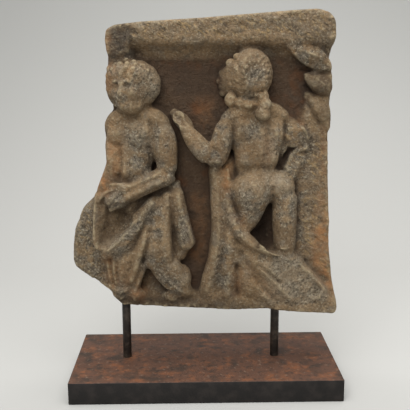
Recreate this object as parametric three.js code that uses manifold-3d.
// A fragment of a carved grey schist frieze, held upright on two steel rods over a steel plate.
// Millimetres, +Z up. The carved face looks along -Y, and the origin is the middle of the plate's
// underside. Depths (y) run from the flat back, +22, to the most forward carving, about -38.

import * as THREE from "three";
import { mergeVertices } from "three/addons/utils/BufferGeometryUtils.js";
import Module from "manifold-3d";

const wasm = await Module();
wasm.setup();

// ---------------------------------------------------------------- driving dimensions

const PLATE = { width: 240, depth: 116, height: 20, arris: 0.6 };
const ROD = { radius: 4, left: -73, right: 65, foot: 12, grip: 24, sides: 18 };
const GAP = 0.3; // clearance around and above the rods, in both of their sockets

const BACK = 22; // flat back of the slab
const FIELD = -6; // carved ground that the figures stand out from
const BAND = -20; // broken face of the border above the figures
const LEDGE = -20; // front of the ground that the figures stand on
const SCAR = -12; // torn surface along the right side
const CLOTH = -18; // ground of the drapery, under its folds
const STONE_FOOT = 72; // height at which the rods enter the stone

// ---------------------------------------------------------------- solids and their makers

const solid = (geometry) => {
  geometry.deleteAttribute("normal");
  geometry.deleteAttribute("uv");
  const merged = mergeVertices(geometry, 1e-4);
  const vertProperties = merged.attributes.position.array;
  const triVerts = new Uint32Array(merged.index.array);
  return new wasm.Manifold(new wasm.Mesh({ numProp: 3, vertProperties, triVerts }));
};

const geometryOf = (manifold) => {
  const { vertProperties, triVerts } = manifold.getMesh();
  const geometry = new THREE.BufferGeometry();
  geometry.setAttribute("position", new THREE.BufferAttribute(vertProperties, 3));
  geometry.setIndex(new THREE.BufferAttribute(triVerts, 1));
  const faceted = geometry.toNonIndexed();
  faceted.computeVertexNormals();
  return faceted;
};

const join = (solids) => solids.reduce((all, one) => all.add(one));

// A flat-topped form whose outline lies in the XZ plane, from one depth forward to another.
const raised = (points, back, front, chamfer = 0) => {
  const shape = new THREE.Shape(points.map(([x, z]) => new THREE.Vector2(x, z)));
  const geometry = new THREE.ExtrudeGeometry(shape, {
    depth: back - front - 2 * chamfer,
    bevelEnabled: chamfer > 0,
    bevelSize: chamfer,
    bevelThickness: chamfer,
    bevelOffset: -chamfer,
    bevelSegments: 1,
  });
  return solid(geometry.rotateX(Math.PI / 2).translate(0, back - chamfer, 0));
};

// A moulding whose profile lies in the YZ plane and which runs the whole width of the slab.
const moulding = (profile, halfWidth = 130) => {
  const shape = new THREE.Shape(profile.map(([y, z]) => new THREE.Vector2(y, z)));
  const geometry = new THREE.ExtrudeGeometry(shape, { depth: 2 * halfWidth, bevelEnabled: false });
  geometry.translate(0, 0, -halfWidth).rotateX(Math.PI / 2).rotateZ(Math.PI / 2);
  return solid(geometry);
};

// A rounded form: half sizes across, in depth and in height, turned in the plane of the relief.
const form = ([x, y, z], [across, deep, high], turn = 0, sides = 9, rings = 6) => {
  const geometry = new THREE.SphereGeometry(1, sides, rings);
  geometry.rotateX(Math.PI / 2).rotateZ(0.13).rotateX(-Math.PI / 2).rotateY(0.21);
  geometry.scale(across, deep, high).rotateY(-turn).translate(x, y, z);
  return solid(geometry);
};

// A value that changes steadily along a route, from a list of values at even steps.
const along = (values, t) => {
  if (!Array.isArray(values)) return values;
  const place = t * (values.length - 1);
  const before = Math.min(Math.floor(place), values.length - 2);
  return THREE.MathUtils.lerp(values[before], values[before + 1], place - before);
};

// A limb, roll or fold along a smooth route. Half widths and half depths are given at the route's
// points; the depth is measured towards the viewer, and both ends close in a blunt dome.
const limb = (route, widths, depths, sides = 8, rings = 0, blunt = 0.4) => {
  const curve = new THREE.CatmullRomCurve3(route.map((p) => new THREE.Vector3(...p)));
  const rows = rings || Math.max(5, route.length * 2);
  const geometry = new THREE.SphereGeometry(1, sides, rows);
  const position = geometry.attributes.position;
  const viewer = new THREE.Vector3(0, -1, 0);
  for (let i = 0; i < position.count; i++) {
    const t = Math.floor(i / (sides + 1)) / rows;
    const round = Math.sin(Math.PI * t);
    const swell = round < 1e-6 ? 0 : Math.pow(round, blunt);
    const azimuth = (2 * Math.PI * (i % (sides + 1))) / sides + 0.2;
    const tangent = curve.getTangent(t);
    const front = viewer.clone().addScaledVector(tangent, -viewer.dot(tangent)).normalize();
    const side = new THREE.Vector3().crossVectors(tangent, front);
    const point = curve.getPoint(t);
    point.addScaledVector(side, Math.cos(azimuth) * swell * along(widths, t));
    point.addScaledVector(front, Math.sin(azimuth) * swell * along(depths, t));
    position.setXYZ(i, point.x, point.y, point.z);
  }
  const made = solid(geometry);
  if (made.volume() > 0) return made;
  const index = geometry.index.array;
  for (let i = 0; i < index.length; i += 3) {
    [index[i + 1], index[i + 2]] = [index[i + 2], index[i + 1]];
  }
  return solid(geometry);
};

// ---------------------------------------------------------------- the slab

// The broken silhouette of the fragment, clockwise from its top left corner.
const SILHOUETTE = [
  [-83, 318.5], [-76, 322.5], [-55, 325], [2, 328.5], [72, 334], [96, 335.5], [106, 332.5],
  [111, 325], [111.5, 313], [108, 296], [110, 280], [108, 255], [108, 228], [109.5, 187],
  [111, 160], [112, 128], [115.5, 97], [119, 80], [119.7, 71], [118, 66.5], [77, 68.5],
  [55.5, 71.4], [20, 71], [-18, 73.4], [-53, 74.4], [-65, 76], [-75.5, 76.5], [-85.5, 86.5],
  [-108, 101], [-117.5, 108.5], [-119.7, 114.5], [-119.5, 126], [-117, 144.5], [-109.5, 163],
  [-98, 173.5], [-94, 184], [-86.5, 202.5], [-85, 207], [-87.2, 224], [-88, 236],
  [-84.5, 245], [-79.5, 251], [-81.5, 263], [-83.5, 276], [-81.5, 291], [-84, 310],
];

const slab = () => raised(SILHOUETTE, BACK - 4, FIELD, 3).add(raised(SILHOUETTE, BACK, 0, 2.5));

// The border above the figures: a torn face over a smooth cove that leads down to the ground.
const border = () =>
  moulding([
    [10, 345], [BAND, 345], [BAND, 311], [BAND + 2, 307], [BAND + 6, 304.5],
    [FIELD - 3, 301], [FIELD - 0.5, 295], [FIELD + 3, 293], [10, 293],
  ]);

// The smooth remnant of the border's own face, at its left end, which reaches lower than the tear.
const borderRemnant = () =>
  raised([[-90, 297], [-64, 298], [-62, 312], [-65, 330], [-90, 330]], 0, BAND - 0.7, 1.5);

// The ground under the feet.
const ledge = () =>
  moulding([
    [10, 60], [LEDGE + 3, 60], [LEDGE, 67], [LEDGE + 2, 77], [LEDGE + 8, 86], [FIELD + 1, 94], [10, 94],
  ]);

// The torn strip on the right, where a tree trunk has broken away.
const scar = () =>
  raised(
    [
      [86, 258], [97, 262], [114, 262], [122, 62], [100, 62], [92, 80], [84, 112], [80, 130],
      [80, 186], [82, 204], [90, 226], [83, 240],
    ],
    0, SCAR, 3,
  );

// Three leaves of that tree, one above the other, each with a raised midrib.
const LEAVES = [
  { edge: [[70, 304], [79, 306], [90, 305], [99, 301.5], [106, 295], [112, 284.5], [97, 284.5],
      [87, 287], [77, 295]],
    rib: [[75, 302], [90, 297], [106, 289]], front: -17 },
  { edge: [[84, 281.5], [92, 283], [112, 282.8], [112, 262], [103, 262], [96, 266], [89.5, 273]],
    rib: [[88, 279.5], [98, 275], [108, 271]], front: -15 },
  { edge: [[87, 264.5], [96, 261.5], [102, 261.2], [112, 261], [112, 246], [104, 250], [98, 256]],
    rib: [[91, 262], [99, 257], [107, 251]], front: -13 },
];

const leaves = () =>
  join(
    LEAVES.map(({ edge, rib, front }) =>
      raised(edge, 0, front, 1.2).add(limb(rib.map(([x, z]) => [x, front + 1.5, z]), 1.6, 3, 6, 4)),
    ),
  );

// ---------------------------------------------------------------- the bearded figure, seen from the front

const beardedHead = () =>
  join([
    form([-60, -14, 273], [23.5, 18.5, 21.5], 0, 12, 9), // mass of hair
    form([-62, -21, 283.5], [17.5, 12, 8.5], 0.1, 10, 6), // hair over the brow
    form([-62, -23, 268], [13.5, 12, 16.5], 0, 12, 8), // face
    form([-62, -25, 256.5], [11, 10.5, 8.5], 0, 10, 6), // beard
    limb([[-62, -34, 275], [-62, -36, 269], [-62, -37, 264.5]], [1.8, 2.6, 3.4], 2.4, 6, 4), // nose
    limb([[-60, -13, 262], [-60, -13, 251], [-61, -12, 242]], [10, 10.5, 13], [12, 12, 13], 8, 4), // neck
  ]);

const beardedTorso = () =>
  join([
    limb([[-62, -11, 252], [-62, -12, 234], [-64, -11, 208], [-64, -11, 176]],
      [15, 23, 20, 21], [12, 15, 15, 15], 12, 7, 0.3),
    limb([[-87, -11, 233], [-78, -12, 242], [-60, -12, 247], [-42, -13, 244], [-28, -13, 234]],
      [7, 9.5, 9, 9.5, 8], [11, 12.5, 12, 13, 12.5], 8, 8, 0.35), // shoulders
    form([-72.5, -15, 231], [13, 11.5, 11.5]), // breasts
    form([-54, -15, 232], [13, 12, 12]),
    form([-64, -13.5, 203], [17, 14.5, 17]), // belly
  ]);

const beardedArms = () =>
  join([
    limb([[-37, -14, 242], [-35, -17, 226], [-33.5, -18, 210], [-31, -19, 190]],
      [11, 11.5, 10.5, 10.5], [12, 13, 12, 12], 10, 7, 0.3),
    limb([[-78, -12, 242], [-79.5, -13, 222], [-82, -14, 202], [-87, -15, 184], [-90, -13, 168]],
      [9, 8, 7, 9, 9], [12, 12, 10, 9, 8], 8, 9, 0.3),
    // forearm wrapped in a roll of cloth, laid across the waist, and its hand
    limb([[-24, -18, 190], [-38, -22, 193], [-52, -24, 187], [-66, -23, 180], [-80, -20, 174],
      [-92, -14, 170]], [10, 10.5, 8.5, 8, 8.5, 6], [11, 11, 10, 9.5, 9, 7], 10, 9, 0.3),
    form([-75, -24, 184], [9, 7.5, 5.5], -0.2, 8, 6),
  ]);

// Cloth hanging from that forearm in a deep loop with a thin rolled hem.
const HEM_LOOP = [
  [-95.5, -18, 176], [-95, -20, 163], [-95.5, -22, 149], [-97, -23, 139], [-93, -24, 131.5],
  [-86.5, -25, 131], [-78.5, -26, 138], [-71, -26, 149], [-65, -26, 161], [-57, -25, 174],
];

const loop = () =>
  raised(HEM_LOOP.map(([x, , z]) => [x, z]).reverse(), 0, -21, 1.5)
    .subtract(limb([[-80, -27, 176], [-82, -29, 160], [-87, -28, 143], [-91, -26, 137]],
      [13, 11, 7, 3], [12, 14, 12, 6], 10, 7))
    .add(limb(HEM_LOOP, 1.9, 3.2, 6, 14, 0.25));

const SKIRT = [
  [-92, 176], [-58, 182], [-22, 190], [-19, 172], [-15, 152], [-7.5, 133], [-13, 128], [-19, 117.5],
  [-26, 114], [-34, 103.5], [-42, 109.5], [-50, 112], [-59, 108.5], [-66, 97], [-70, 90.5],
  [-81, 90], [-87.5, 99], [-89, 128], [-93, 150],
];

const skirt = () =>
  join([
    raised(SKIRT, 0, CLOTH, 4),
    // near leg
    limb([[-64, -13, 172], [-70, -15, 145], [-76, -15, 118], [-78, -13, 93]], [11, 10, 9.5, 9], 9, 8, 8),
    limb([[-46, -19, 172], [-51, -21, 150], [-57, -22, 130], [-62.5, -21, 112], [-68, -18, 96]],
      [4, 4.5, 5, 4.5, 3.5], 6.5, 6, 9),
    limb([[-42, -18, 160], [-45, -19, 140], [-46, -18, 118]], [6, 7, 6.5], [7, 6.5, 6], 8, 6),
    limb([[-38, -21, 178], [-36, -23, 152], [-36, -23, 130], [-33.5, -22, 114], [-28.5, -19, 101],
      [-25, -16, 91]], [4.5, 5, 5, 5, 5.5, 5], 6.5, 6, 10),
    limb([[-26, -17, 184], [-22, -18, 163], [-17.5, -18, 145], [-14.5, -17, 131]],
      [5, 5.5, 5.5, 4.5], 6.5, 8, 8),
    form([-20, -13, 101], [8, 9, 13]), // far shin
    form([-60, -13, 84], [9, 9, 7], 0, 8, 5), // feet
    form([-31, -13, 83], [11, 9, 6.5], 0, 8, 5),
    form([-76, -12, 86], [9, 9, 6.5], 0, 8, 5),
  ]);

// The deep vertical furrow beside the far panel of the skirt, and the gap inside the far arm.
const skirtFurrow = () =>
  limb([[-30, -26, 172], [-28.5, -26, 145], [-26.5, -26, 118]], [1.2, 2, 1.6], 7, 6, 6);
const armGap = () =>
  limb([[-46, -29, 226], [-46, -29, 212], [-45.5, -28, 200]], [0.8, 2, 3.2], [6, 10, 12], 6, 5);

// ---------------------------------------------------------------- the youth, seen from behind

const youthHead = () =>
  join([
    form([39.5, -15, 281], [18.5, 20, 21.5], 0, 12, 9), // mass of hair
    form([25.5, -12, 276], [8, 11, 12.5]), // turned cheek
    limb([[38, -13, 266], [38, -13, 256], [39, -12, 246]], [10.5, 10.5, 14], [12, 12, 13], 8, 4), // neck
  ]);

// Curls on the nape, from the cheek round to the knot that hangs on the back.
const CURLS = [
  { at: [22, -19, 259.5], size: [5.6, 7, 6.6] },
  { at: [30, -23, 257], size: [4.4, 5.5, 4.4] },
  { at: [37, -25, 255.5], size: [4.6, 5, 4.6] },
  { at: [49, -24, 262], size: [5.6, 8, 5.6] },
  { at: [50.5, -26.5, 254.5], size: [6.4, 8.5, 6] },
  { at: [49.5, -28, 247.5], size: [6.6, 8, 6] },
];
const SIDE_CURLS = { x: 20.5, y: -17, top: 291, step: 6, count: 3, size: [3.8, 5, 3.4] };

const youthCurls = () => {
  const nape = CURLS.map(({ at, size }) => form(at, size, 0, 7, 5));
  const side = Array.from({ length: SIDE_CURLS.count }, (_, row) =>
    form([SIDE_CURLS.x, SIDE_CURLS.y, SIDE_CURLS.top - row * SIDE_CURLS.step], SIDE_CURLS.size, 0, 7, 5),
  );
  return join([...nape, ...side]);
};

const youthBack = () =>
  join([
    limb([[42, -11, 257], [43, -12, 240], [45, -13, 222], [43.5, -12, 205], [45, -12, 186]],
      [22, 27, 22, 19, 25], [10, 14, 14, 13, 14], 12, 9, 0.3),
    limb([[12, -13, 236], [24, -13, 246], [42, -12, 251], [62, -11, 248], [76, -10, 240]],
      [8, 9, 9, 9.5, 8], [12, 13, 12, 11.5, 10], 8, 8, 0.35), // shoulders
    form([34, -15, 233], [15, 11.5, 15]), // shoulder blades
    form([61, -14, 231], [9, 11, 15]),
    form([38, -14, 210], [13, 11, 14], 0, 8, 6), // small of the back
    form([58, -13, 210], [7, 10.5, 13], 0, 8, 6),
    limb([[30, -12, 190], [46, -13, 190], [66, -12, 190]], 13, [12, 14, 12], 8, 6, 0.35), // hips
  ]);

// The furrow of the spine, the crease of the waist and the dimple under it.
const spine = () =>
  limb([[53.5, -31, 240], [53, -30.5, 222], [51, -29, 203]], [1.6, 2.6, 2], [3, 5, 4], 6, 6);
const dimple = () => form([58.5, -31, 182], [2.4, 6, 6], 0, 6, 4);

const youthArm = () =>
  join([
    limb([[19, -14, 246], [15.5, -18, 228], [12, -20.5, 213], [9, -21, 200]], [10, 10, 9.5, 8],
      [11.5, 11, 10, 9], 10, 7, 0.3),
    limb([[12, -21, 203], [1, -22.5, 213.5], [-9, -22, 225], [-16, -20, 234.5], [-22, -19, 243]],
      [8.5, 10, 8.5, 6.5, 5], [9, 9.5, 8.5, 7.5, 7], 10, 8, 0.3),
    form([-22.5, -19, 245], [6, 7.5, 6.5], 0.4, 8, 6), // hand
  ]);

const youthLegs = () =>
  join([
    form([40.5, -16.5, 180], [19.5, 16, 18], 0, 12, 8), // buttocks
    form([66, -15, 183], [14, 13.5, 16]),
    limb([[37, -15, 184], [39.5, -17, 164], [36, -15, 142]], [17, 13, 6], [13, 12, 8], 10, 6, 0.25), // thigh
    limb([[69, -13, 190], [70, -14.5, 160], [71, -14, 138], [71, -13, 118]], [12, 11.5, 11, 12],
      [12, 12, 11.5, 11], 10, 6, 0.25),
  ]);

const brokenArm = () =>
  raised([[58, 244], [78, 244], [87, 233], [91, 222], [88, 205], [82, 190], [75, 186], [70, 200],
    [64, 220]], 0, -16, 3)
    .subtract(form([74.5, -16, 216], [3.4, 9, 4], 0, 6, 5))
    .add(limb([[83, -14, 239], [87.5, -15, 231], [91.5, -13, 223]], 1.6, 4, 6, 4));

// ---------------------------------------------------------------- the youth's fallen drapery

const FALL = [
  [3, 200], [20, 198], [24, 157], [32, 141], [50, 130], [80, 127], [88, 113], [99, 97], [111, 86],
  [121, 73], [121, 62], [0, 62], [0, 84], [6, 97], [6, 130], [9, 152], [5, 180],
];

// The thick rolled edge that crosses under the legs, from the hip round to the far side.
const ROLL = [
  [18, -16, 184], [20.5, -21, 168], [24, -24, 155], [30.5, -26, 145], [39, -27, 137], [49, -28, 131],
  [59, -28, 128], [69, -26, 127], [80, -21, 126],
];

const FALL_FOLDS = [
  { route: [[8, -11, 204], [10, -14, 180], [14, -15, 158], [12, -15, 130], [12, -14, 100], [9, -10, 76]],
    width: [5, 6.5, 7.5, 6.5, 6.5, 6] },
  { route: [[18, -13, 206], [19, -16, 188], [20.5, -16, 168]], width: [3.5, 4.5, 5] },
  { route: [[23, -18, 150], [20.5, -18, 124], [20, -17, 100], [19.5, -14, 70]], width: [6, 6.5, 7, 7] },
  { route: [[31, -19, 144], [36, -19, 120], [46, -18, 100], [58, -15, 82], [68, -11, 64]],
    width: [6, 6.5, 6.5, 6, 6] },
  { route: [[42, -20, 134], [55, -20, 113], [69, -18, 96], [88, -12, 66]], width: [7, 8, 8.5, 7] },
  { route: [[64, -20, 126], [79, -18, 110], [96, -16, 92], [120, -11, 64]], width: [8, 11, 11, 8] },
  { route: [[4, -8, 100], [2, -10, 88], [5, -11, 74]], width: [3, 4, 5] },
];

const FALL_FURROWS = [
  { route: [[44, -25, 117], [56, -26, 105.5], [68, -23, 94.5]], width: [0.8, 1.6, 1] },
  { route: [[32, -24, 117], [43, -24, 101], [52, -22, 90], [62, -20, 79]], width: [1, 2.2, 2.2, 1.2] },
  { route: [[28, -23, 108], [27.5, -23, 97], [28.5, -21, 85]], width: [1, 1.9, 1.2] },
];

const fall = () => {
  const folds = FALL_FOLDS.map(({ route, width }) => limb(route, width, 7.5, 8, route.length + 2, 0.3));
  const furrows = FALL_FURROWS.map(({ route, width }) => limb(route, width, 5.5, 6, 6));
  const roll = limb(ROLL,
    [3.5, 4.5, 5, 5.5, 5.5, 5, 5, 4.5, 4], [6, 6.5, 7, 7, 7, 7, 6.5, 6, 6], 8, 11, 0.3);
  return join([raised(FALL, 0, CLOTH, 4), ...folds]).subtract(join(furrows)).add(roll);
};

// ---------------------------------------------------------------- the whole stone

const bearded = () =>
  join([beardedTorso(), beardedArms(), skirt()])
    .subtract(join([skirtFurrow(), armGap()]))
    .add(beardedHead())
    .add(loop());

const youth = () =>
  join([youthBack(), youthLegs()])
    .subtract(join([spine(), dimple()]))
    .add(join([youthHead(), youthCurls(), youthArm(), brokenArm(), fall()]));

const socket = (x) => {
  const { radius, sides, grip } = ROD;
  const geometry = new THREE.CylinderGeometry(radius + GAP, radius + GAP, grip + 40, sides);
  return solid(geometry.rotateX(Math.PI / 2).translate(x, 0, STONE_FOOT + grip / 2 - 20 + GAP / 2));
};

const panel = () =>
  join([slab(), border(), borderRemnant(), ledge(), scar(), leaves(), bearded(), youth()])
    .intersect(raised(SILHOUETTE, BACK + 5, -60))
    .subtract(join([socket(ROD.left), socket(ROD.right)]));

// ---------------------------------------------------------------- the stand

const rod = (x) => {
  const { radius, foot, grip, sides } = ROD;
  const low = PLATE.height - foot;
  const high = STONE_FOOT + grip;
  const profile = [
    [0, low], [radius - 0.5, low], [radius, low + 0.5],
    [radius, high - 0.5], [radius - 0.5, high], [0, high],
  ];
  const geometry = new THREE.LatheGeometry(profile.map(([r, h]) => new THREE.Vector2(r, h)), sides);
  return solid(geometry.rotateX(Math.PI / 2).translate(x, 0, 0));
};

const plate = () => {
  const { width, depth, height, arris } = PLATE;
  const shape = new THREE.Shape([
    new THREE.Vector2(-width / 2, -depth / 2), new THREE.Vector2(width / 2, -depth / 2),
    new THREE.Vector2(width / 2, depth / 2), new THREE.Vector2(-width / 2, depth / 2),
  ]);
  const geometry = new THREE.ExtrudeGeometry(shape, {
    depth: height - 2 * arris, bevelEnabled: true, bevelSize: arris, bevelThickness: arris,
    bevelOffset: -arris, bevelSegments: 1,
  }).translate(0, 0, arris);
  const hole = (x) => {
    const wide = ROD.radius + GAP;
    const bore = new THREE.CylinderGeometry(wide, wide, 2 * (ROD.foot + GAP), ROD.sides);
    return solid(bore.rotateX(Math.PI / 2).translate(x, 0, height));
  };
  return solid(geometry).subtract(hole(ROD.left)).subtract(hole(ROD.right));
};

// ---------------------------------------------------------------- scene graph

const schist = new THREE.MeshStandardMaterial({ color: "#6f6657", roughness: 0.86, metalness: 0 });
const blackSteel = new THREE.MeshStandardMaterial({ color: "#201f1f", roughness: 0.42, metalness: 0.85 });
const rustedSteel = new THREE.MeshStandardMaterial({ color: "#3f2a1e", roughness: 0.66, metalness: 0.5 });

const part = new THREE.Group();
const place = (name, shape, material) => {
  const mesh = new THREE.Mesh(geometryOf(shape), material);
  mesh.name = name;
  part.add(mesh);
};

place("relief_panel", panel(), schist);
place("rod_left", rod(ROD.left), blackSteel);
place("rod_right", rod(ROD.right), blackSteel);
place("base_plate", plate(), rustedSteel);

export default part;
